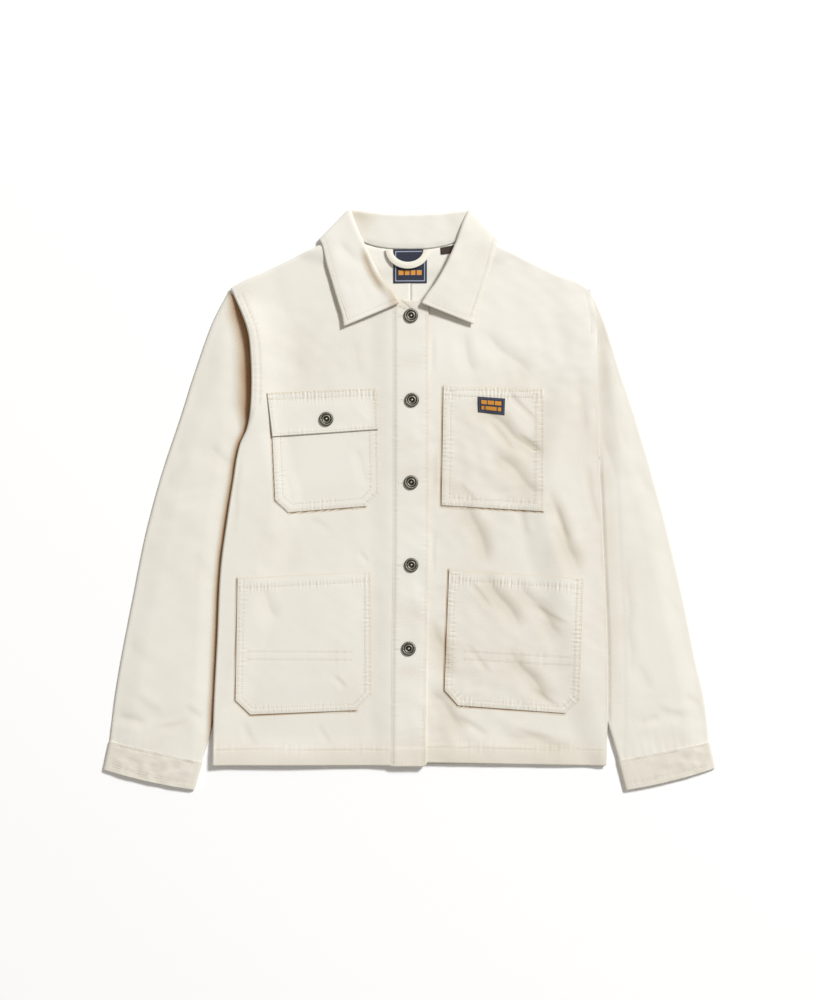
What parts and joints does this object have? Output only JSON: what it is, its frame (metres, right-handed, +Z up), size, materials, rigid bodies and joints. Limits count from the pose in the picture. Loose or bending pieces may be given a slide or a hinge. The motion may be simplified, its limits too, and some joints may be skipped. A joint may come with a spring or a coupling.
{
  "type": "chore jacket",
  "caption": "Washed canvas chore jacket laid flat on its back, front buttoned, with long sleeves, a pointed collar and patch pockets, one of them with a flap.",
  "frame": {"origin": "middle of the flat underside, at the height of the surface that the jacket lies on", "axes": "+X towards the wearer's left sleeve, +Y towards the collar, +Z up from the surface towards the front of the jacket"},
  "size_m": [0.7358, 0.6935, 0.0148],
  "materials": {
    "canvas": "washed cream cotton canvas, matte",
    "loop_tape": "cream cotton tape",
    "neck_label": "dark navy woven label with bare orange bars",
    "patch_label": "dark navy woven patch with a bare orange middle",
    "size_label": "dark brown woven label, bare",
    "pewter": "antique pewter, pressed, satin"
  },
  "bodies": {
    "root": {"back_right": "canvas", "back_left": "canvas", "front_right": "canvas", "front_left": "canvas", "placket": "canvas", "sleeve_right": "canvas", "sleeve_left": "canvas", "cuff_right": "canvas", "cuff_left": "canvas", "collar": "canvas", "chest_pocket_right": "canvas", "chest_pocket_left": "canvas", "hip_pocket_right": "canvas", "hip_pocket_left": "canvas", "pocket_flap": "canvas", "pocket_patch": "patch_label", "neck_label": "neck_label", "size_label": "size_label", "hanger_loop": "loop_tape", "button_1": "pewter", "button_2": "pewter", "button_3": "pewter", "button_4": "pewter", "button_5": "pewter", "button_flap": "pewter"}
  },
  "joints": []
}
